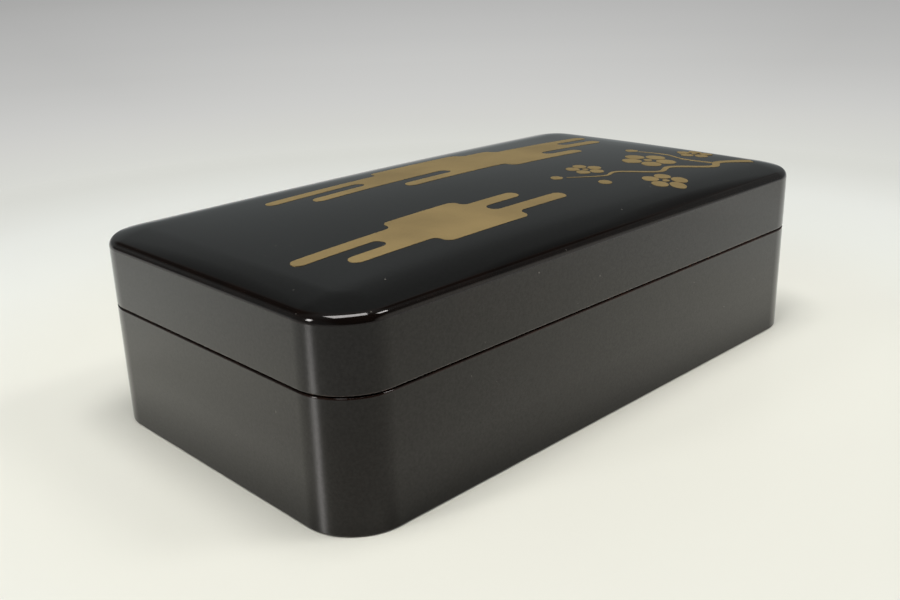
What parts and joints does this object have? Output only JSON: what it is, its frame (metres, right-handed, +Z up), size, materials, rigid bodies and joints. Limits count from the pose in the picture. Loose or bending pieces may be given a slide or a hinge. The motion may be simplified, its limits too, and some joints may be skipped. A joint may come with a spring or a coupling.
{
  "type": "lidded lacquer box",
  "caption": "Rectangular wooden box with rounded corners under black lacquer, with a crowned lift-off lid that closes flush over an inner rim.",
  "frame": {"origin": "centre of the underside, level with the foot that the box stands on", "axes": "+X along the long side, -Y the front long side, +Z up through the lid"},
  "size_m": [0.272, 0.15, 0.0816],
  "materials": {
    "lacquer": "polished black lacquer",
    "wood": "planed softwood"
  },
  "bodies": {
    "body": {"body_front_board": "wood", "body_back_board": "wood", "body_left_board": "wood", "body_right_board": "wood", "body_front_left_post": "wood", "body_front_right_post": "wood", "body_back_left_post": "wood", "body_back_right_post": "wood", "body_bottom_board": "wood", "rim_front_strip": "wood", "rim_back_strip": "wood", "rim_left_strip": "wood", "rim_right_strip": "wood", "rim_front_left_bend": "wood", "rim_front_right_bend": "wood", "rim_back_left_bend": "wood", "rim_back_right_bend": "wood", "body_base_coat": "lacquer", "body_outer_coat": "lacquer", "body_inner_coat": "lacquer"},
    "lid": {"lid_front_board": "wood", "lid_back_board": "wood", "lid_left_board": "wood", "lid_right_board": "wood", "lid_front_left_post": "wood", "lid_front_right_post": "wood", "lid_back_left_post": "wood", "lid_back_right_post": "wood", "lid_top_board": "wood", "lid_outer_coat": "lacquer", "lid_inner_coat": "lacquer"}
  },
  "joints": [
    {"name": "lid_lift", "type": "slide", "parent": "body", "child": "lid", "axis": [0, 0, 1], "range_m": [0, 0.11]}
  ]
}
